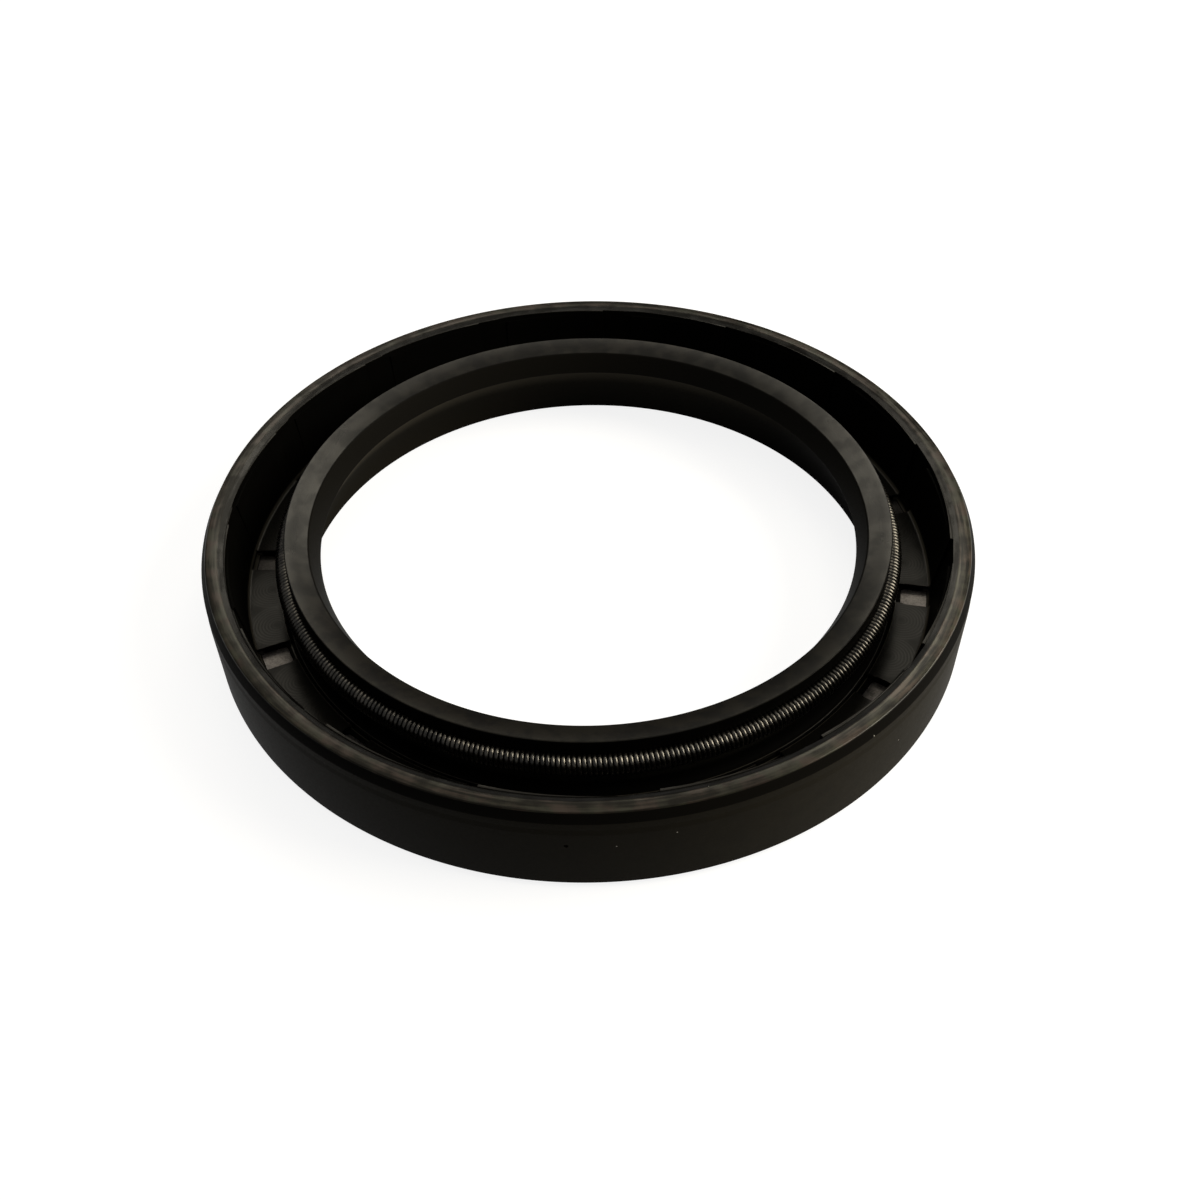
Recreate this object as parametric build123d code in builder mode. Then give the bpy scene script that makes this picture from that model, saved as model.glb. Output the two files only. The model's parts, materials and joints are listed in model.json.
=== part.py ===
from build123d import *
import os
from math import atan2, cos, radians, sqrt, tan

# Radial shaft seal: a rubber-covered steel case with a spring-loaded sealing lip.
# The axis is Z. The air side face lies at Z = 0 and the sprung oil side looks up.
# Lengths are in millimetres and angles in degrees.

# Overall sizes
shaft_dia = 45.0
section = 8.5  # radial height, from the shaft to the housing bore
width = 8.0

# Outer skin
lead_in = 0.49  # chamfer between the rim and the outside diameter, radially
lead_height = 0.75
pilot_height = 1.15  # land below the chamfer, a little under the press diameter
pilot_relief = 0.05
back_lead_in = 0.4
back_lead_height = 0.6
back_relief = 0.15  # the back face is set back by this much around the throat
relief_width = 1.8

# Steel case
steel = 0.9
case_bend = 0.5  # inside radius of the bend between wall and flange
outer_rubber = 0.65
back_rubber = 1.1
floor_rubber = 0.6
rim_cover = 1.0  # rubber over the top edge of the case
throat_rubber = 1.18  # rubber between the throat and the hole in the flange

# Cavity behind the lip
mouth_skin = 0.53  # rubber inside the case wall, at the rim
wall_draft = 8.0
floor_fillet = 0.3
floor_inset = 0.2  # from the hole in the flange to the floor's inner edge
root_groove_width = 0.3  # V groove between the floor and the neck of the lip
root_groove_depth = 0.25
ridge_drop = 0.1  # the groove's inner edge is lower than the floor by this

# Rim
pad_width = 0.22  # narrow inner land, cut up by the support grooves
pad_drop = 0.14
pad_groove_width = 0.52
pad_groove_depth = 0.22

# Grooves that the mould's fingers leave where they hold the case
groove_count = 15
groove_width = 2.6
groove_bite = 0.38  # how far a groove cuts into the cavity wall, at the rim
groove_draft = 11.0  # lean of a groove's outer end
groove_fillet = 0.3
groove_inset = 0.55  # from the hole in the flange to the inner end of a groove

# Lip
interference = 1.28  # the free lip is smaller than the shaft by this, on the diameter
contact_depth = 2.35  # sealing edge below the rim
oil_angle = 24.0
nose_height = 1.65
face_slope = 14.0
head_depth = 2.64  # radially, from the sealing edge to the outside of the lip's head
head_bevel = 0.08
throat_step = 2.26  # radially, from the sealing edge to the throat
throat_height = 1.74  # from the back face to the foot of the air side cone
throat_blend = 2.5
membrane = 0.95  # thickness of the flexible neck
neck_blend = 0.6  # where the neck turns out to the ridge beside the floor
waist_blend = 0.3

# Garter spring
spring_dia = 1.8
spring_seat = 2.74  # radially, from the sealing edge to the middle of the coil
spring_offset = 0.05  # the coil sits this much to the air side of the sealing edge
spring_clearance = 0.05
lower_grip = 0.35  # how far short of the coil's middle the lower flank ends

# Radii that follow
outer_r = shaft_dia / 2 + section
press_r = outer_r
pilot_r = outer_r - pilot_relief
rim_r = outer_r - lead_in
case_outer_r = outer_r - outer_rubber
case_inner_r = case_outer_r - steel
mouth_r = case_inner_r - mouth_skin
pad_r = mouth_r + pad_width
rim_edge_r = pad_r + pad_groove_width
groove_outer_r = mouth_r + groove_bite
contact_r = (shaft_dia - interference) / 2
head_r = contact_r + head_depth
throat_r = contact_r + throat_step
case_hole_r = throat_r + throat_rubber
relief_r = throat_r + relief_width
groove_inner_r = case_hole_r + groove_inset
spring_r = contact_r + spring_seat

# Heights that follow
flange_top_z = back_rubber + steel
floor_z = flange_top_z + floor_rubber
case_top_z = width - rim_cover
pad_z = width - pad_drop
chamfer_z = width - lead_height
pilot_z = chamfer_z - pilot_height
contact_z = width - contact_depth
nose_z = contact_z + nose_height
spring_z = contact_z - spring_offset

# Feet of the cavity wall and of a groove, the nose of the lip and its spring's seat
floor_r = mouth_r - (pad_z - floor_z) * tan(radians(wall_draft))
groove_foot_r = groove_outer_r - (width - flange_top_z) * tan(radians(groove_draft))
nose_r = contact_r + nose_height * tan(radians(oil_angle))
face_z = nose_z + (head_r - nose_r) * tan(radians(face_slope))
seat_r = spring_dia / 2 + spring_clearance
seat_top_z = spring_z + sqrt(seat_r**2 - (spring_r - head_r) ** 2)
seat_low_z = spring_z - sqrt(seat_r**2 - lower_grip**2)
seat_low_r = spring_r - lower_grip

# The air side cone leans this far from the axis, and the neck runs along it
air_slope = atan2(throat_step, contact_z - throat_height)


def neck_r(z):
    """Radius of the neck's outer side at a height."""
    return contact_r + (contact_z - z) * tan(air_slope) + membrane / cos(air_slope)


# The neck, from its waist under the spring to the ridge beside the floor
waist_z = seat_low_z - (seat_low_r - neck_r(seat_low_z)) / 2
floor_edge_r = case_hole_r + floor_inset
ridge_r = floor_edge_r - root_groove_width
ridge_z = floor_z - ridge_drop


def corner(section_sketch, r, z):
    """The corner of a section at a radius and height."""
    return section_sketch.vertices().sort_by_distance((r, z))[0]


# The steel case: an L section, wall and flange joined by a bend of even thickness
with BuildPart() as metal_case:
    with BuildSketch(Plane.XZ) as case_section:
        with BuildLine():
            Polyline(
                (case_hole_r, back_rubber),
                (case_outer_r, back_rubber),
                (case_outer_r, case_top_z),
                (case_inner_r, case_top_z),
                (case_inner_r, flange_top_z),
                (case_hole_r, flange_top_z),
                close=True,
            )
        make_face()
        fillet(corner(case_section, case_inner_r, flange_top_z), radius=case_bend)
        fillet(corner(case_section, case_outer_r, back_rubber), radius=case_bend + steel)
    revolve(axis=Axis.Z)
metal_case.part.label = "metal_case"

# The finger that leaves one groove, standing on the flange
with BuildPart() as finger:
    with BuildSketch(Plane.XZ) as finger_section:
        with BuildLine():
            Polyline(
                (groove_inner_r, flange_top_z),
                (groove_foot_r, flange_top_z),
                (groove_outer_r, width),
                (groove_inner_r, width),
                close=True,
            )
        make_face()
        fillet(corner(finger_section, groove_foot_r, flange_top_z), radius=groove_fillet)
    extrude(amount=groove_width / 2, both=True)

# The moulded rubber: skin, cavity, neck and lip in one section around the case
with BuildPart() as rubber_body:
    with BuildSketch(Plane.XZ) as rubber_section:
        with BuildLine():
            Polyline(
                (throat_r, throat_height),
                (throat_r, back_relief),
                (relief_r, back_relief),
                (relief_r + back_relief, 0),
                (outer_r - back_lead_in, 0),
                (press_r, back_lead_height),
                (press_r, pilot_z - pilot_relief),
                (pilot_r, pilot_z),
                (pilot_r, chamfer_z),
                (rim_r, width),
                (rim_edge_r, width),
                (pad_r, width - pad_groove_depth),
                (pad_r, pad_z),
                (mouth_r, pad_z),
                (floor_r, floor_z),
                (floor_edge_r, floor_z),
                (floor_edge_r - root_groove_width / 2, floor_z - root_groove_depth),
                (ridge_r, ridge_z),
                (neck_r(ridge_z), ridge_z),
                (neck_r(waist_z), waist_z),
                (seat_low_r, seat_low_z),
            )
            ThreePointArc(
                (seat_low_r, seat_low_z),
                (spring_r - seat_r, spring_z),
                (head_r, seat_top_z),
            )
            Polyline(
                (head_r, seat_top_z),
                (head_r, face_z - head_bevel),
                (head_r - head_bevel, face_z - head_bevel * tan(radians(face_slope))),
                (nose_r, nose_z),
                (contact_r, contact_z),
                (throat_r, throat_height),
            )
        make_face()
        fillet(corner(rubber_section, floor_r, floor_z), radius=floor_fillet)
        fillet(corner(rubber_section, neck_r(waist_z), waist_z), radius=waist_blend)
        fillet(corner(rubber_section, neck_r(ridge_z), ridge_z), radius=neck_blend)
        fillet(corner(rubber_section, throat_r, throat_height), radius=throat_blend)
    revolve(axis=Axis.Z)
    add(metal_case.part, mode=Mode.SUBTRACT)
    with PolarLocations(0, groove_count, start_angle=180 / groove_count):
        add(finger.part, mode=Mode.SUBTRACT)
rubber_body.part.label = "rubber_body"

# The garter spring, as the closed ring of its coil
with BuildPart() as garter_spring:
    with BuildSketch(Plane.XZ):
        with Locations((spring_r, spring_z)):
            Circle(spring_dia / 2)
    revolve(axis=Axis.Z)
garter_spring.part.label = "garter_spring"

os.makedirs("parts", exist_ok=True)
export_step(metal_case.part, "parts/metal_case.step")
export_step(rubber_body.part, "parts/rubber_body.step")
export_step(garter_spring.part, "parts/garter_spring.step")
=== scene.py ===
import json
from math import atan2, cos, pi, radians, sin, sqrt, tan

import bpy
from mathutils import Matrix, Vector

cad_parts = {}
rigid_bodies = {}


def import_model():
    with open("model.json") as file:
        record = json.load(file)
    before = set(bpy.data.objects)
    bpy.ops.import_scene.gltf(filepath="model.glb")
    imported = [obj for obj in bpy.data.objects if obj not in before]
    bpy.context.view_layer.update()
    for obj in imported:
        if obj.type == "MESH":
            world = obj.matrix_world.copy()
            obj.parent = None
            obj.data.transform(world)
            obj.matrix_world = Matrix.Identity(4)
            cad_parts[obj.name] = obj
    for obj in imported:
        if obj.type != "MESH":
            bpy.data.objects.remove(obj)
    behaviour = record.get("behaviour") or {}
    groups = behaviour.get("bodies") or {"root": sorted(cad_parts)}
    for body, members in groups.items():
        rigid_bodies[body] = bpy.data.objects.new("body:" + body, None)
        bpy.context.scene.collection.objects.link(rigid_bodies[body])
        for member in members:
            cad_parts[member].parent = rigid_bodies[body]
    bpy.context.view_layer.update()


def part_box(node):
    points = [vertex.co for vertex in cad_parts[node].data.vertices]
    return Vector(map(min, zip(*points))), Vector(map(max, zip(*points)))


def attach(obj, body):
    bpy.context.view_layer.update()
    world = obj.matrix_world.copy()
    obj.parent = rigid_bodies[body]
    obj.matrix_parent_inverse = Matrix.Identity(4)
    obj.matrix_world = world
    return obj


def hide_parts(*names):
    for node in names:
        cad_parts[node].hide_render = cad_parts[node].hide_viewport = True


# Radial shaft seal: moulded rubber round a steel case, with a garter spring behind its lip.
# The axis is Z and the sprung oil side looks up. Lengths are in millimetres unless a comment says
# otherwise, and MM turns them into Blender's metres.

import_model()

MM = 0.001
SAME_POINT = 1e-7  # points closer than this, in metres, are one

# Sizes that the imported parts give
body_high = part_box("rubber_body")[1] / MM
case_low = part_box("metal_case")[0] / MM
case_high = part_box("metal_case")[1] / MM
spring_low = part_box("garter_spring")[0] / MM
spring_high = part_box("garter_spring")[1] / MM

OUTER_R = body_high.x
WIDTH = body_high.z
CASE_R = case_high.x
CASE_BASE = case_low.z
CASE_TOP = case_high.z
COIL_R = (spring_high.z - spring_low.z) / 2
SPRING_R = spring_high.x - COIL_R
SPRING_Z = (spring_high.z + spring_low.z) / 2

# How finely round forms are made, and the sharpest edge that is still shaded smooth
SPIN_STEPS = 360
ROUNDING_STEPS = 4
SEAT_STEPS = 14
TRIM_STEPS = 16
RUBBER_SMOOTH = radians(28)
CASE_SMOOTH = radians(30)

# Steel case
STEEL = 0.9
CASE_BEND = 0.5
CASE_EDGE = 0.05
CASE_HOLE_R = 25.3
FLANGE_Z = CASE_BASE + STEEL

# Outer skin and rim
LEAD_IN = 0.49
LEAD_HEIGHT = 0.75
PILOT_HEIGHT = 1.15
PILOT_RELIEF = 0.05
PILOT_RAMP = 0.5  # height of the slope between the press land and the pilot land
BACK_LEAD_IN = 0.4
BACK_LEAD_HEIGHT = 0.6
MOUTH_R = 28.92
PAD_R = 29.14
RIM_EDGE_R = 29.66
PAD_DROP = 0.14
PAD_GROOVE_DEPTH = 0.22

# Cavity, throat and back
WALL_DRAFT = radians(8)
FLOOR_Z = FLANGE_Z + 0.6
FLOOR_R = MOUTH_R - (WIDTH - PAD_DROP - FLOOR_Z) * tan(WALL_DRAFT)
FLOOR_EDGE_R = 25.5
FLOOR_FILLET = 0.22
ROOT_GROOVE_WIDTH = 0.3
ROOT_GROOVE_DEPTH = 0.25
RIDGE_DROP = 0.1
THROAT_R = 24.12
THROAT_Z = 1.74
THROAT_BLEND = 2.5
BACK_RELIEF = 0.15
RELIEF_WIDTH = 1.8

# Lip
CONTACT_R = 21.86
CONTACT_Z = 5.65
NOSE_HEIGHT = 1.65
OIL_ANGLE = radians(24)
FACE_SLOPE = radians(14)
HEAD_R = 24.5
HEAD_EDGE = 0.14
NOSE_EDGE = 0.12
MEMBRANE = 0.95
NECK_BLEND = 0.6
WAIST_BLEND = 0.3
SEAT_CLEARANCE = 0.05
LOWER_GRIP = 0.35

# Support grooves, a little narrower at the foot than at the mouth
GROOVE_COUNT = 15
GROOVE_WIDTH = 2.35
GROOVE_FLARE = 1.22
GROOVE_INNER_R = 25.85
GROOVE_OUTER_R = MOUTH_R + 0.2
GROOVE_DRAFT = radians(9.4)
GROOVE_FILLET = 0.3
GROOVE_CORNER = 0.35
GROOVE_STEP = 0.2  # rubber left on the flange where a groove runs out past its inner edge
GROOVE_END_R = 25.2
GROOVE_END_WIDTH = 2.2
FINGERS_OFFSET = (0.07, -0.05)  # the mould's fingers stand off the axis by this
FINGER_SINK = 0.02  # a finger is drawn this far into the steel, so that it bares the flange
FINGER_RISE = 0.5  # and stands this far above the rim

# The pad is trimmed askew: it thins out along each land
TRIM_RISE = 0.24  # width of the cut where a land ends
TRIM_DEPTH = 0.55
TRIM_MARGIN = radians(1.2)  # from the middle of a groove to the end of a land's cut

# Garter spring
TURNS = 434
WIRE_R = 0.17
WIRE_SIDES = 8
TURN_STEPS = 14
JOIN_GAP = 1e-6  # in metres, between the first and the last turn

# Fine arcs on the cavity floor: the centres as radius and turn from the middle of a land
ARC_CENTRES = ((26.2, -0.07), (26.2, 0.09))
ARC_SPACING = 0.25
ARC_REACH = 2.2

# Small flaws, as radius, turn from +X and height: a pit in the outside and pale grains of dust
PIT = (OUTER_R, radians(-93.3), 4.9)
PIT_R = 0.16
GRAINS = (
    (OUTER_R, radians(-44.8), 4.1),
    (OUTER_R, radians(-87.1), 4.8),
    (OUTER_R, radians(-79.6), 5.6),
    (30.9, radians(-51), 7.3),
    (29.55, radians(-74.9), 8.0),
    (28.95, radians(-106.6), 7.86),
)
GRAIN_R = 0.065

# Floor and backdrop, in metres where they are lengths
FLOOR_SIZE = 4
FLOOR_DROP = 0.00002  # the floor lies just clear of the back face
FLOOR_GREY = 0.3
FLOOR_GLOW = 0.85
WORLD_STRENGTH = 0.2

# Lamps, in metres: name, turn round the part from +X, rise above the floor, size and watts
LAMP_DISTANCE = 0.5
LAMP_COLOUR = (1.0, 0.93, 0.77)
LAMPS = (
    ("lamp_right", radians(0), radians(35), 0.3, 2.4),
    ("lamp_back_left", radians(105), radians(42), 0.16, 0.27),
    ("lamp_back_right", radians(74), radians(43), 0.16, 0.34),
    ("lamp_top", radians(90), radians(82), 0.4, 0.4),
)

# Camera, with its lens and sensor in millimetres too
CAMERA_PLACE = Vector((0.43, -81.29, 77.85))
CAMERA_AIM = Vector((0.86, -2.93, 0))
CAMERA_ROLL = radians(-0.84)
LENS = 39.46
SENSOR = 36


# ---------------------------------------------------------------- mesh tools

def deselect_all():
    """Nothing selected and nothing active."""
    for obj in bpy.context.view_layer.objects:
        obj.select_set(False)
    bpy.context.view_layer.objects.active = None


def make_active(obj):
    """Selects one object alone."""
    deselect_all()
    obj.select_set(True)
    bpy.context.view_layer.objects.active = obj


def named(name):
    """Names the object that an operator has just added."""
    obj = bpy.context.active_object
    obj.name = name
    obj.data.name = name
    return obj


def settle(obj):
    """Puts an object's place into its mesh."""
    make_active(obj)
    bpy.ops.object.transform_apply(location=True, rotation=True, scale=True)
    return obj


def apply_modifier(obj, kind, **settings):
    """Adds a modifier with its settings and applies it."""
    make_active(obj)
    modifier = obj.modifiers.new(kind.title(), kind)
    for key, value in settings.items():
        setattr(modifier, key, value)
    bpy.ops.object.modifier_apply(modifier=modifier.name)


def carve(obj, tool):
    """Cuts one object's shape out of another and throws the tool away."""
    apply_modifier(obj, "BOOLEAN", operation="DIFFERENCE", solver="MANIFOLD", object=tool)
    bpy.data.objects.remove(tool)


def select_points(obj, wanted):
    """In edit mode, selects the points that a test picks, and nothing else."""
    bpy.ops.mesh.select_mode(type="VERT")
    bpy.ops.mesh.select_all(action="DESELECT")
    bpy.ops.object.mode_set(mode="OBJECT")
    for point in obj.data.vertices:
        point.select = wanted(point.co)
    bpy.ops.object.mode_set(mode="EDIT")


def select_edges(obj, wanted):
    """In edit mode, selects the edges whose two ends a test accepts, and nothing else."""
    bpy.ops.mesh.select_mode(type="EDGE")
    bpy.ops.mesh.select_all(action="DESELECT")
    bpy.ops.object.mode_set(mode="OBJECT")
    for edge in obj.data.edges:
        start, end = (obj.data.vertices[i].co for i in edge.vertices)
        edge.select = wanted(start, end)
    bpy.ops.object.mode_set(mode="EDIT")


def draw_section(name, corners):
    """A face in the XZ plane, left in edit mode. A corner is a radius, a height and a rounding."""
    deselect_all()
    bpy.ops.mesh.primitive_plane_add(size=MM)
    obj = named(name)
    first = corners[0]
    bpy.ops.object.mode_set(mode="EDIT")
    bpy.ops.mesh.select_mode(type="VERT")
    bpy.ops.mesh.merge(type="CENTER")
    bpy.ops.transform.translate(value=(first[0] * MM, 0, first[1] * MM))
    here = first
    for corner in corners[1:]:
        step = ((corner[0] - here[0]) * MM, 0, (corner[1] - here[1]) * MM)
        bpy.ops.mesh.extrude_region_move(TRANSFORM_OT_translate={"value": step})
        here = corner
    bpy.ops.mesh.select_all(action="SELECT")
    bpy.ops.mesh.edge_face_add()
    for rounding in sorted({corner[2] for corner in corners if corner[2]}, reverse=True):
        places = [Vector((c[0] * MM, 0, c[1] * MM)) for c in corners if c[2] == rounding]
        select_points(obj, lambda co: any((co - place).length < SAME_POINT for place in places))
        bpy.ops.mesh.bevel(
            offset=rounding * MM, affect="VERTICES", segments=ROUNDING_STEPS, offset_type="OFFSET",
            clamp_overlap=False,
        )
    bpy.ops.mesh.select_all(action="SELECT")
    return obj


def close_mesh(join_gap=SAME_POINT):
    """Ends the shaping of a closed form: joins its loose ends, turns its faces out and leaves edit mode."""
    bpy.ops.mesh.select_all(action="SELECT")
    bpy.ops.mesh.remove_doubles(threshold=join_gap)
    bpy.ops.mesh.normals_make_consistent(inside=False)
    bpy.ops.object.mode_set(mode="OBJECT")


def spin_section(obj):
    """Turns a section once around the Z axis into a closed ring."""
    bpy.ops.mesh.delete(type="ONLY_FACE")
    bpy.ops.mesh.select_all(action="SELECT")
    bpy.ops.mesh.spin(steps=SPIN_STEPS, angle=2 * pi, center=(0, 0, 0), axis=(0, 0, 1))
    close_mesh()
    return obj


def smooth(obj, angle):
    """Smooth shading, with edges sharper than the angle left crisp."""
    make_active(obj)
    bpy.ops.object.shade_smooth_by_angle(angle=angle)


# ---------------------------------------------------------------- pieces

def make_case(name):
    """The pressed steel case, an L section."""
    inner_r = CASE_R - STEEL
    return spin_section(draw_section(name, [
        (CASE_HOLE_R, CASE_BASE, CASE_EDGE),
        (CASE_R, CASE_BASE, CASE_BEND + STEEL),
        (CASE_R, CASE_TOP, CASE_EDGE),
        (inner_r, CASE_TOP, CASE_EDGE),
        (inner_r, FLANGE_Z, CASE_BEND),
        (CASE_HOLE_R, FLANGE_Z, CASE_EDGE),
    ]))


def rubber_corners():
    """The moulding's section, from the throat around the back, the rim, the cavity and the lip.

    The roundings of a few hundredths are those of its crisp edges.
    """
    seat_r = COIL_R + SEAT_CLEARANCE
    nose_r = CONTACT_R + NOSE_HEIGHT * tan(OIL_ANGLE)
    nose_z = CONTACT_Z + NOSE_HEIGHT
    face_z = nose_z + (HEAD_R - nose_r) * tan(FACE_SLOPE)
    air_slope = atan2(THROAT_R - CONTACT_R, CONTACT_Z - THROAT_Z)
    seat_low_z = SPRING_Z - sqrt(seat_r**2 - LOWER_GRIP**2)

    def neck_r(z):
        return CONTACT_R + (CONTACT_Z - z) * tan(air_slope) + MEMBRANE / cos(air_slope)

    waist_z = seat_low_z - (SPRING_R - LOWER_GRIP - neck_r(seat_low_z)) / 2
    ridge_r = FLOOR_EDGE_R - ROOT_GROOVE_WIDTH
    ridge_z = FLOOR_Z - RIDGE_DROP
    relief_r = THROAT_R + RELIEF_WIDTH
    pilot_r = OUTER_R - PILOT_RELIEF
    chamfer_z = WIDTH - LEAD_HEIGHT
    pilot_z = chamfer_z - PILOT_HEIGHT
    corners = [
        (THROAT_R, THROAT_Z, THROAT_BLEND),
        (THROAT_R, BACK_RELIEF, 0.05),
        (relief_r, BACK_RELIEF, 0.05),
        (relief_r + BACK_RELIEF, 0, 0.05),
        (OUTER_R - BACK_LEAD_IN, 0, 0.1),
        (OUTER_R, BACK_LEAD_HEIGHT, 0.1),
        (OUTER_R, pilot_z, 0.04),
        (pilot_r, pilot_z + PILOT_RAMP, 0.04),
        (pilot_r, chamfer_z, 0.05),
        (OUTER_R - LEAD_IN, WIDTH, 0.06),
        (RIM_EDGE_R, WIDTH, 0.07),
        (PAD_R, WIDTH - PAD_GROOVE_DEPTH, 0.03),
        (PAD_R, WIDTH - PAD_DROP, 0.03),
        (MOUTH_R, WIDTH - PAD_DROP, 0.05),
        (FLOOR_R, FLOOR_Z, FLOOR_FILLET),
        (FLOOR_EDGE_R, FLOOR_Z, 0.04),
        (FLOOR_EDGE_R - ROOT_GROOVE_WIDTH / 2, FLOOR_Z - ROOT_GROOVE_DEPTH, 0.03),
        (ridge_r, ridge_z, 0.04),
        (neck_r(ridge_z), ridge_z, NECK_BLEND),
        (neck_r(waist_z), waist_z, WAIST_BLEND),
        (SPRING_R - LOWER_GRIP, seat_low_z, 0),
    ]
    # The seat of the spring, an arc from its lower flank up to the outside of the head
    start = atan2(seat_low_z - SPRING_Z, -LOWER_GRIP) % (2 * pi)
    top_z = SPRING_Z + sqrt(seat_r**2 - (SPRING_R - HEAD_R) ** 2)
    end = atan2(top_z - SPRING_Z, HEAD_R - SPRING_R)
    for i in range(1, SEAT_STEPS):
        angle = start + (end - start) * i / SEAT_STEPS
        corners.append((SPRING_R + seat_r * cos(angle), SPRING_Z + seat_r * sin(angle), 0))
    corners += [
        (HEAD_R, top_z, 0.02),
        (HEAD_R, face_z, HEAD_EDGE),
        (nose_r, nose_z, NOSE_EDGE),
        (CONTACT_R, CONTACT_Z, 0.03),
    ]
    return corners


def ring_of(tool, start):
    """Copies a tool round the axis, one for each support groove, and joins the copies."""
    tools = [tool]
    for i in range(1, GROOVE_COUNT):
        make_active(tool)
        bpy.ops.object.duplicate()
        copy = named(f"{tool.name}_{i:02d}")
        copy.rotation_euler = (0, 0, 2 * pi * i / GROOVE_COUNT)
        tools.append(settle(copy))
    deselect_all()
    for each in tools:
        each.select_set(True)
    bpy.context.view_layer.objects.active = tool
    bpy.ops.object.join()
    tool.rotation_euler = (0, 0, start)
    return settle(tool)


def make_finger(name, corners, width):
    """One finger of the mould: a section made a bar across the X axis, and flared above the cavity."""
    finger = draw_section(name, corners)
    bpy.ops.transform.translate(value=(0, -width / 2 * MM, 0))
    bpy.ops.mesh.extrude_region_move(TRANSFORM_OT_translate={"value": (0, width * MM, 0)})
    select_points(finger, lambda co: co.z > (WIDTH - PAD_DROP) * MM)
    bpy.ops.transform.resize(value=(1, GROOVE_FLARE, 1), center_override=(0, 0, 0))
    return finger


def make_groove_fingers():
    """The fifteen fingers that leave the support grooves, which bare the flange of the case."""
    foot_z = FLANGE_Z - FINGER_SINK
    top_z = WIDTH + FINGER_RISE
    foot_r = GROOVE_OUTER_R - (WIDTH - foot_z) * tan(GROOVE_DRAFT)
    top_r = GROOVE_OUTER_R + FINGER_RISE * tan(GROOVE_DRAFT)
    finger = make_finger("finger", [
        (GROOVE_INNER_R, foot_z, 0),
        (foot_r, foot_z, GROOVE_FILLET),
        (top_r, top_z, 0),
        (GROOVE_INNER_R, top_z, 0),
    ], GROOVE_WIDTH)
    # The two upright edges nearest the axis are rounded
    inmost = (GROOVE_INNER_R + GROOVE_FILLET) * MM
    select_edges(finger, lambda start, end: max(start.x, end.x) < inmost and abs(start.z - end.z) > MM)
    bpy.ops.mesh.bevel(offset=GROOVE_CORNER * MM, affect="EDGES", segments=ROUNDING_STEPS)
    close_mesh()
    fingers = ring_of(finger, pi / GROOVE_COUNT)
    fingers.location = (FINGERS_OFFSET[0] * MM, FINGERS_OFFSET[1] * MM, 0)
    return settle(fingers)


def make_groove_ends():
    """The shallower inner ends of the grooves, which run out into the groove beside the neck."""
    low_z = FLANGE_Z + GROOVE_STEP
    end_r = GROOVE_INNER_R + 2 * GROOVE_CORNER
    groove_end = make_finger("groove_end", [
        (GROOVE_END_R, low_z, 0),
        (end_r, low_z, 0),
        (end_r, WIDTH, 0),
        (GROOVE_END_R, WIDTH, 0),
    ], GROOVE_END_WIDTH)
    close_mesh()
    return ring_of(groove_end, pi / GROOVE_COUNT)


def make_trimming():
    """What the askew trimming takes off the inside of the pad, more and more along each land."""
    cut = 2 * (pi / GROOVE_COUNT - TRIM_MARGIN)
    # The tool stands in the open cavity and reaches above the rim
    inner_r = MOUTH_R - 0.6
    foot_r = MOUTH_R - 0.1
    foot_z = WIDTH - TRIM_DEPTH
    shoulder_z = WIDTH - PAD_DROP - 0.03
    top_z = WIDTH + 0.2
    trim = draw_section("trimming", [
        (inner_r, foot_z, 0),
        (foot_r, foot_z, 0),
        (MOUTH_R, shoulder_z, 0),
        (MOUTH_R, top_z, 0),
        (inner_r, top_z, 0),
    ])
    # A turn about a point off the axis, so that the cut gains radius as it goes round
    bpy.ops.mesh.spin(steps=TRIM_STEPS, angle=-cut, center=(0, TRIM_RISE / cut * MM, 0), axis=(0, 0, 1))
    close_mesh()
    return ring_of(trim, pi / GROOVE_COUNT + TRIM_MARGIN)


def make_pit():
    """The ball whose dent is the small pit in the outside."""
    radius, turn, height = PIT
    place = Vector((radius * cos(turn), radius * sin(turn), height)) * MM
    deselect_all()
    bpy.ops.mesh.primitive_ico_sphere_add(subdivisions=3, radius=PIT_R * MM, location=place)
    return settle(named("pit"))


def make_rubber_body():
    """The moulding: a spun section, hollow where the case lies, with the grooves and the pad cut."""
    body = spin_section(draw_section("moulded_rubber", rubber_corners()))
    carve(body, make_case("core"))
    carve(body, make_groove_fingers())
    carve(body, make_groove_ends())
    carve(body, make_trimming())
    carve(body, make_pit())
    smooth(body, RUBBER_SMOOTH)
    return body


def make_spring():
    """The garter spring: a wire ring screwed into a straight coil, then bent round and joined."""
    pitch = 2 * pi * SPRING_R / TURNS
    deselect_all()
    bpy.ops.mesh.primitive_circle_add(
        vertices=WIRE_SIDES, radius=WIRE_R * MM, location=((COIL_R - WIRE_R) * MM, 0, 0),
        rotation=(pi / 2, 0, 0),
    )
    coil = settle(named("spring_coil"))
    apply_modifier(
        coil, "SCREW", axis="Z", angle=2 * pi, screw_offset=pitch * MM, iterations=TURNS,
        steps=TURN_STEPS, render_steps=TURN_STEPS, use_merge_vertices=False,
    )
    bend = coil.dimensions.z / (SPRING_R * MM)
    apply_modifier(coil, "SIMPLE_DEFORM", deform_method="BEND", deform_axis="X", angle=bend)
    # The ring now stands on its edge, beside the axis: it is laid flat and centred
    coil.rotation_euler = (0, pi / 2, 0)
    coil.location = (0, -SPRING_R * MM, SPRING_Z * MM)
    settle(coil)
    bpy.ops.object.mode_set(mode="EDIT")
    close_mesh(JOIN_GAP)
    make_active(coil)
    bpy.ops.object.shade_smooth()
    return coil


# ---------------------------------------------------------------- finishes

NOISE_SCALE = 0.6  # a noise of this scale has blotches about 1 wide
BLACK = (0, 0, 0, 1)
WHITE = (1, 1, 1, 1)


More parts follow.
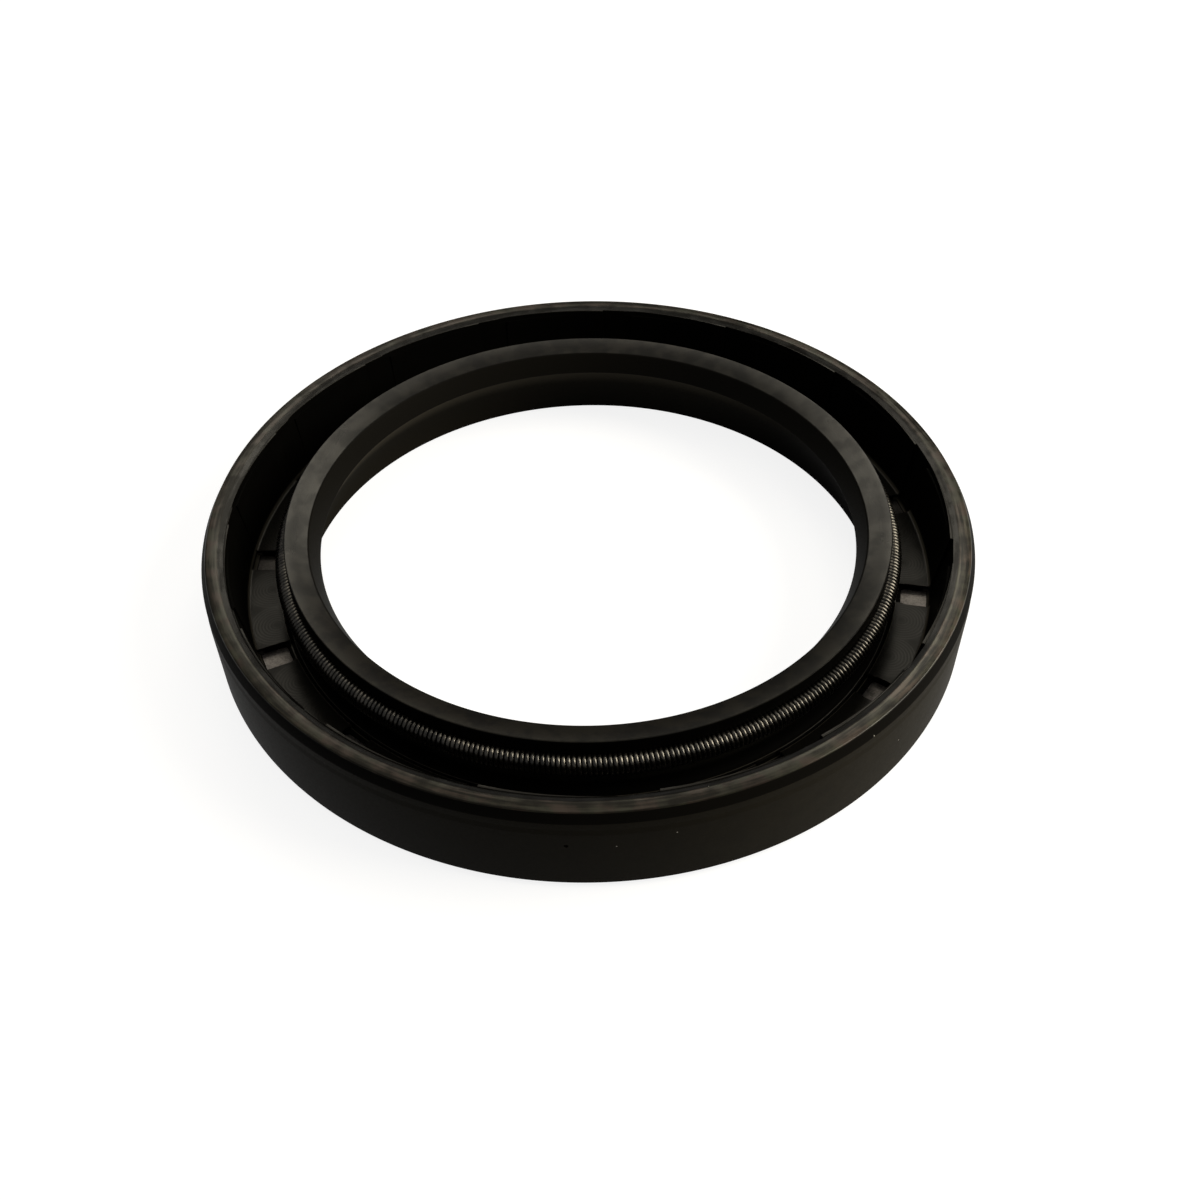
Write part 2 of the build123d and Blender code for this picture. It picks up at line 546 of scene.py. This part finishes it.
class Value:
    """A socket in a material, which adds and multiplies as a number does."""

    def __init__(self, finish, socket):
        self.finish = finish
        self.socket = socket

    def maths(self, operation, first, second):
        """The result of a Math node in the same material."""
        return self.finish.maths(operation, first, second)

    def __add__(self, other):
        return self.maths("ADD", self, other)

    def __radd__(self, other):
        return self.maths("ADD", other, self)

    def __sub__(self, other):
        return self.maths("SUBTRACT", self, other)

    def __rsub__(self, other):
        return self.maths("SUBTRACT", other, self)

    def __mul__(self, other):
        return self.maths("MULTIPLY", self, other)

    def __rmul__(self, other):
        return self.maths("MULTIPLY", other, self)

    def __truediv__(self, other):
        return self.maths("DIVIDE", self, other)

    def __pow__(self, other):
        return self.maths("POWER", self, other)


class Finish:
    """A material, whose nodes are added by one method. Its patterns are in millimetres on the piece."""

    def __init__(self, name):
        self.material = bpy.data.materials.new(name)
        self.material.use_nodes = True
        self.tree = self.material.node_tree
        self.tree.nodes.clear()

    def node(self, kind, settings=None, sockets=None, output=0):
        """Adds a node: its settings first, then the values or links of its sockets."""
        made = self.tree.nodes.new(kind)
        for key, value in (settings or {}).items():
            setattr(made, key, value)
        for key, value in (sockets or {}).items():
            if isinstance(value, Value):
                self.tree.links.new(value.socket, made.inputs[key])
            else:
                made.inputs[key].default_value = value
        return Value(self, made.outputs[output]) if made.outputs else None

    def maths(self, operation, first, second=0.0, third=0.0):
        """Adds a Math node."""
        return self.node("ShaderNodeMath", {"operation": operation}, {0: first, 1: second, 2: third})

    def read_place(self):
        """Reads the point on the piece, and its radius, height and angle around the axis."""
        place = self.node("ShaderNodeTexCoord", output="Object")
        self.point = self.node("ShaderNodeVectorMath", {"operation": "SCALE"}, {0: place, "Scale": 1 / MM})
        self.x, self.y, self.z = (
            self.node("ShaderNodeSeparateXYZ", sockets={0: self.point}, output=axis) for axis in range(3)
        )
        self.r = (self.x * self.x + self.y * self.y) ** 0.5
        self.angle = self.maths("ARCTAN2", self.y, self.x)

    def rise(self, value, low, high, start=0.0, end=1.0):
        """Goes smoothly from start to end while a value goes from low to high."""
        return self.node(
            "ShaderNodeMapRange",
            {"interpolation_type": "SMOOTHSTEP"},
            {"Value": value, "From Min": low, "From Max": high, "To Min": start, "To Max": end},
        )

    def band(self, value, low, high, soft):
        """1 between two values and 0 outside, with soft edges."""
        return self.rise(value, low - soft, low + soft) * self.rise(value, high - soft, high + soft, 1, 0)

    def near(self, place, size):
        """1 at a place given as radius, turn and height, and 0 from a size away."""
        radius, turn, height = place
        centre = (radius * cos(turn), radius * sin(turn), height)
        away = self.node(
            "ShaderNodeVectorMath", {"operation": "DISTANCE"}, {0: self.point, 1: centre}, output="Value"
        )
        return self.rise(away, size * 0.5, size, 1, 0)

    def spots(self, size, detail=2.0):
        """Cloudy blotches about as wide as the size, from 0 to 1."""
        return self.node(
            "ShaderNodeTexNoise",
            sockets={"Vector": self.point, "Scale": NOISE_SCALE / size, "Detail": detail},
        )

    def streaks(self, length, width, detail=2.0):
        """Noise drawn out around the axis, as left by turning or wiping."""
        around = CASE_R / length
        # Across the streaks, radius and height both count, so that they cross sloping surfaces too
        across = (self.r - self.z * 0.7) / width
        vector = self.node(
            "ShaderNodeCombineXYZ",
            sockets={0: self.x / self.r * around, 1: self.y / self.r * around, 2: across},
        )
        return self.node(
            "ShaderNodeTexNoise", sockets={"Vector": vector, "Scale": NOISE_SCALE, "Detail": detail}
        )

    def blend(self, factor, first, second):
        """One colour turning into another."""
        return self.node(
            "ShaderNodeMix", {"data_type": "RGBA"}, {"Factor": factor, 6: first, 7: second}, output=2
        )

    def bump(self, height, depth):
        """A relief whose height goes from 0 to 1 over a depth in millimetres."""
        distance = depth * MM
        return self.node("ShaderNodeBump", sockets={"Height": height, "Strength": 1.0, "Distance": distance})

    def surface(self, shader):
        """Makes a shader the material's own."""
        self.node("ShaderNodeOutputMaterial", sockets={"Surface": shader})


def grey(level, warmth=0.2):
    """A dark grey, with more red and less blue as it gets warmer."""
    return (level * (1 + warmth / 2), level, level * (1 - warmth), 1)


def floor_arcs(finish):
    """The fine nested arcs on the cavity floor, two sets between each pair of grooves."""
    half_land = pi / GROOVE_COUNT
    local = finish.maths("WRAP", finish.angle, half_land, -half_land)
    relief = 0.0
    for centre_r, centre_turn in ARC_CENTRES:
        across = finish.r - centre_r
        along = (local - centre_turn) * centre_r
        away = (across * across + along * along) ** 0.5
        line = finish.maths("SINE", away * (2 * pi / ARC_SPACING))
        relief = relief + (line * 0.5 + 0.5) * finish.band(away, 0.3, ARC_REACH, 0.25)
    return relief


def rubber_places(finish):
    """Where each surface of the moulding lies: by name, a value that is 1 on it and 0 elsewhere.

    The margins added to a corner's radius or height keep its soft edge on the right side of it.
    """
    r, z = finish.r, finish.z
    chamfer_r = OUTER_R - LEAD_IN
    chamfer_z = WIDTH - LEAD_HEIGHT
    pad_z = WIDTH - PAD_DROP
    nose_z = CONTACT_Z + NOSE_HEIGHT
    ridge_r = FLOOR_EDGE_R - ROOT_GROOVE_WIDTH
    lip = finish.rise(r, HEAD_R - 0.05, HEAD_R, 1, 0)
    throat = finish.rise(r, THROAT_R + 0.1, THROAT_R + 0.3, 1, 0)
    low_cavity = finish.rise(z, FLANGE_Z + 0.8, FLANGE_Z + 1.0, 1, 0)
    low_cavity = low_cavity * finish.rise(z, FLANGE_Z + 0.02, FLANGE_Z + 0.06)

    # The corners low in the cavity, painted pale as painted highlights: the foot of its wall and of a
    # groove, and both sides of the V groove
    corners = finish.band(r, FLOOR_R - 0.12, FLOOR_R + 0.08, 0.05) * finish.rise(z, FLOOR_Z - 0.1, FLOOR_Z)
    below_floor = finish.rise(z, FLOOR_Z - 0.3, FLOOR_Z - 0.2, 1, 0)
    corners = corners + finish.band(r, FLOOR_R - 0.45, FLOOR_R, 0.1) * below_floor
    corners = corners + finish.band(r, FLOOR_EDGE_R - 0.03, FLOOR_EDGE_R + 0.05, 0.03)
    corners = corners + finish.band(r, ridge_r - 0.05, ridge_r, 0.03)

    return {
        "outside": finish.rise(r, OUTER_R - 0.3, OUTER_R - 0.1)
        * finish.rise(z, chamfer_z - 0.02, chamfer_z + 0.03, 1, 0),
        "chamfer": finish.rise(r, chamfer_r, chamfer_r + 0.05) * finish.band(z, chamfer_z, WIDTH, 0.03),
        "rim": finish.rise(r, RIM_EDGE_R - 0.12, RIM_EDGE_R - 0.02)
        * finish.rise(z, WIDTH - 0.11, WIDTH - 0.06),
        "pad groove": finish.band(r, PAD_R, RIM_EDGE_R - 0.07, 0.05)
        * finish.rise(z, WIDTH - 0.4, WIDTH - 0.3),
        "pad": finish.band(r, MOUTH_R, PAD_R, 0.03) * finish.rise(z, pad_z - 0.08, pad_z - 0.03),
        "floor": finish.band(r, FLOOR_EDGE_R - 0.2, FLOOR_R, 0.05)
        * finish.band(z, FLOOR_Z - 0.12, FLOOR_Z + 0.04, 0.04),
        "corners": corners * low_cavity,
        "lip face": lip * finish.rise(z, nose_z - 0.03, nose_z + 0.04),
        "oil side": lip * finish.band(z, CONTACT_Z, nose_z - 0.02, 0.04),
        "air side": throat * finish.rise(z, CONTACT_Z - 0.06, CONTACT_Z, 1, 0),
        "grains": sum(finish.near(place, GRAIN_R) for place in GRAINS),
    }


def skin_colour(finish, blotch):
    """The outside, with painted light: paler towards the right and at the back."""
    painted_light_right = finish.rise(finish.x, -12, 27)
    front = finish.blend(painted_light_right, grey(0.0018, 0.9), grey(0.0215, 0.35))
    # Painted light: the outside is paler at the back too
    skin = finish.blend(finish.rise(finish.y, -3, 8), front, grey(0.011, 0.4))
    return finish.blend(blotch * 0.4, skin, BLACK)


def air_side_colour(finish):
    """The air side of the lip, with painted light: paler except towards the right, and paler up towards the
    sealing edge.
    """
    left = finish.rise(finish.x, 9, 21, 1, 0)
    low = finish.blend(left, grey(0.0018), grey(0.012))
    high = finish.blend(left, grey(0.003), grey(0.048))
    return finish.blend(finish.rise(finish.z, 3.6, CONTACT_Z), low, high)


def rim_colour(finish, worn, painted_light_side):
    """The rim: olive and brown patches where it is worn, painted paler towards one side as painted light."""
    olive = finish.blend(painted_light_side, (0.019, 0.0185, 0.010, 1), (0.046, 0.044, 0.025, 1))
    brown = finish.blend(painted_light_side, (0.0265, 0.017, 0.0115, 1), (0.061, 0.042, 0.028, 1))
    patches = finish.rise(finish.spots(0.9, 3), 0.42, 0.58)
    return finish.blend(worn, grey(0.006, 0.3), finish.blend(patches, olive, brown))


def rubber_finish():
    """Black moulded rubber: brown and worn on the rim, painted paler there as painted light, polished on the
    lip, black elsewhere.
    """
    finish = Finish("black_rubber")
    finish.read_place()
    x, y, r = finish.x, finish.y, finish.r
    on = rubber_places(finish)

    # What varies over the surfaces. The rim is painted paler and given more coat towards -30 degrees from
    # +X: painted light.
    blotch = finish.spots(0.7, 4)
    fine = finish.spots(0.12, 3)
    mottle = finish.rise(finish.spots(2.2, 3) * 0.5 + blotch * 0.5, 0.42, 0.58)
    wave = finish.streaks(5, 0.25, 1)
    drawn = finish.streaks(2, 0.1, 4)
    worn = finish.rise(wave * 0.4 + drawn * 0.3 + blotch * 0.3, 0.4, 0.6)
    painted_light_side = finish.rise(x * 0.87 - y * 0.5, 25, 29)
    arcs = floor_arcs(finish) * on["floor"]
    right = finish.rise(x, -18, 27)
    back = finish.rise(y, -6, 3)

    # The colour of each surface, laid over what comes before it
    floor_front = finish.blend(blotch, grey(0.004), grey(0.0065))
    colour = finish.blend(blotch, grey(0.0008), grey(0.0015))
    for place, shade in (
        ("outside", skin_colour(finish, blotch)),
        # Painted light: the chamfer is paler towards the right
        ("chamfer", finish.blend(right, grey(0.0012, 0.25), grey(0.0045, 0.25))),
        ("air side", air_side_colour(finish)),
        ("oil side", grey(0.0055)),
        # Painted shade: the floor is darker towards the back
        ("floor", finish.blend(back, floor_front, grey(0.003))),
        # Painted highlights: the corners low in the cavity are pale
        ("corners", grey(0.035)),
        ("pad", grey(0.008)),
        ("pad groove", grey(0.003)),
        ("lip face", finish.blend(mottle, grey(0.0046, 0.1), grey(0.0075, 0.25))),
        ("rim", rim_colour(finish, worn, painted_light_side)),
        ("grains", grey(0.4, 0.1)),
    ):
        colour = finish.blend(on[place], colour, shade)

    # How far handling and wear have polished each of them
    rim_polish = 0.2 + 0.35 * worn + 0.2 * painted_light_side - 0.13 * finish.rise(x * 0.87 + y * 0.5, 18, 27)
    handled = 0.16 + 0.41 * finish.rise(y, -20, 2) - 0.23 * finish.rise(y, 4, 22)
    face_polish = handled * (0.6 + 0.3 * mottle + 0.25 * finish.rise(r, 22.9, 23.8))
    floor_polish = (0.08 + 0.05 * blotch + 0.12 * arcs) * (1 - 0.85 * back)
    polish = (on["rim"] + on["pad groove"]) * rim_polish + on["pad"] * 0.3
    polish = polish + on["lip face"] * face_polish + on["floor"] * floor_polish + on["corners"] * 0.4

    scuffs = wave * 0.7 + drawn * 0.3 + blotch * 0.8
    grain = fine * (0.3 - 0.2 * on["lip face"]) + blotch * (0.3 - 0.25 * on["lip face"])
    shader = finish.node(
        "ShaderNodeBsdfPrincipled",
        sockets={
            "Base Color": colour,
            "Roughness": 0.5 + 0.15 * fine + 0.4 * on["air side"],
            "Specular IOR Level": 0.02,
            "Coat Weight": polish,
            "Coat Roughness": 0.26,
            "Normal": finish.bump(on["rim"] * scuffs + grain + arcs * 0.9, 0.012),
        },
    )
    finish.surface(shader)
    return finish.material


def case_finish():
    """Steel with a thin grey bonding coat, seen at the bottom of each support groove."""
    finish = Finish("case_steel")
    finish.read_place()
    blotch = finish.spots(0.5, 4)
    grain = finish.spots(0.09, 3)
    mix = finish.rise(blotch * 0.5 + grain * 0.5, 0.36, 0.64)
    steel = finish.blend(mix, (0.06, 0.056, 0.055, 1), (0.12, 0.112, 0.108, 1))
    shade = 0.75 * finish.rise(finish.y, -5, 0)
    shader = finish.node(
        "ShaderNodeBsdfPrincipled",
        sockets={
            "Base Color": finish.blend(shade, steel, BLACK),
            "Roughness": 0.36 + 0.12 * blotch,
            "Metallic": 1.0,
            "Normal": finish.bump(grain, 0.006),
        },
    )
    finish.surface(shader)
    return finish.material


def spring_finish():
    """Drawn spring wire, dulled in patches, with painted shade on its lower side and on the right."""
    finish = Finish("spring_steel")
    finish.read_place()
    patch = finish.spots(0.8, 4)
    fine = finish.spots(0.1, 2)
    tone = finish.rise(patch * 0.6 + fine * 0.4, 0.35, 0.65)
    # Painted shade: darker on the lower side of the coil and on the right
    painted_shade = 0.9 * finish.rise(finish.z, SPRING_Z - 0.4, SPRING_Z + 0.1, 1, 0)
    painted_shade = painted_shade + 0.35 * finish.rise(finish.x, 12, 19) - 0.25 * finish.rise(finish.x, 20, 24)
    wire = finish.blend(tone, (0.062, 0.0605, 0.057, 1), (0.156, 0.1455, 0.128, 1))
    shader = finish.node(
        "ShaderNodeBsdfPrincipled",
        sockets={
            "Base Color": finish.blend(painted_shade, wire, BLACK),
            "Roughness": 0.22 + 0.1 * fine,
            "Metallic": 1.0,
            "Normal": finish.bump(fine, 0.003),
        },
    )
    finish.surface(shader)
    return finish.material


def floor_finish():
    """A pale floor, which glows for the camera and for reflections and keeps its soft shadow."""
    finish = Finish("studio_floor")
    camera_ray = finish.node("ShaderNodeLightPath", output="Is Camera Ray")
    glossy_ray = finish.node("ShaderNodeLightPath", output="Is Glossy Ray")
    through_ray = finish.node("ShaderNodeLightPath", output="Is Transmission Ray")
    seen = camera_ray + glossy_ray + through_ray
    plain = finish.node("ShaderNodeBsdfDiffuse", sockets={"Color": grey(FLOOR_GREY, 0)})
    glow = finish.node("ShaderNodeEmission", sockets={"Color": WHITE, "Strength": FLOOR_GLOW})
    lit = finish.node("ShaderNodeAddShader", sockets={0: plain, 1: glow})
    finish.surface(finish.node("ShaderNodeMixShader", sockets={0: seen, 1: plain, 2: lit}))
    return finish.material


# ---------------------------------------------------------------- studio

def add_floor():
    """The plain floor that the part lies on."""
    deselect_all()
    bpy.ops.mesh.primitive_plane_add(size=FLOOR_SIZE, location=(0, 0, -FLOOR_DROP))
    floor = settle(named("studio_floor"))
    floor.data.materials.append(floor_finish())


def add_lamp(name, turn, rise, size, watts):
    """A square soft lamp at a turn round the part and a rise above the floor, which faces the part."""
    away = LAMP_DISTANCE * Vector((cos(turn) * cos(rise), sin(turn) * cos(rise), sin(rise)))
    deselect_all()
    bpy.ops.object.light_add(type="AREA", location=away)
    lamp = bpy.context.active_object
    lamp.name = name
    lamp.data.shape = "SQUARE"
    lamp.data.size = size
    lamp.data.color = LAMP_COLOUR
    lamp.data.energy = watts
    lamp.rotation_euler = away.to_track_quat("Z", "Y").to_euler()


def add_world():
    """A weak, even white light from all sides."""
    world = bpy.data.worlds.new("studio")
    world.use_nodes = True
    background = world.node_tree.nodes["Background"]
    background.inputs["Color"].default_value = WHITE
    background.inputs["Strength"].default_value = WORLD_STRENGTH
    bpy.context.scene.world = world


def add_camera():
    """The camera, above the front and a little rolled."""
    deselect_all()
    bpy.ops.object.camera_add(location=CAMERA_PLACE * MM)
    camera = bpy.context.active_object
    look = (CAMERA_PLACE - CAMERA_AIM).to_track_quat("Z", "Y")
    camera.rotation_euler = (look.to_matrix() @ Matrix.Rotation(CAMERA_ROLL, 3, "Z")).to_euler()
    camera.data.lens = LENS
    camera.data.sensor_width = SENSOR
    camera.data.clip_start = 0.01
    bpy.context.scene.camera = camera


case = make_case("pressed_case")
smooth(case, CASE_SMOOTH)
body = make_rubber_body()
spring = make_spring()
for piece, node, slot, finish in (
    (case, "metal_case", "case_steel", case_finish()),
    (body, "rubber_body", "black_rubber", rubber_finish()),
    (spring, "garter_spring", "spring_steel", spring_finish()),
):
    piece.data.materials.clear()
    piece.data.materials.append(finish)
    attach(piece, "root")
    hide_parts(node)

add_floor()
add_world()
for lamp in LAMPS:
    add_lamp(*lamp)
add_camera()
bpy.context.scene.view_settings.view_transform = "Standard"
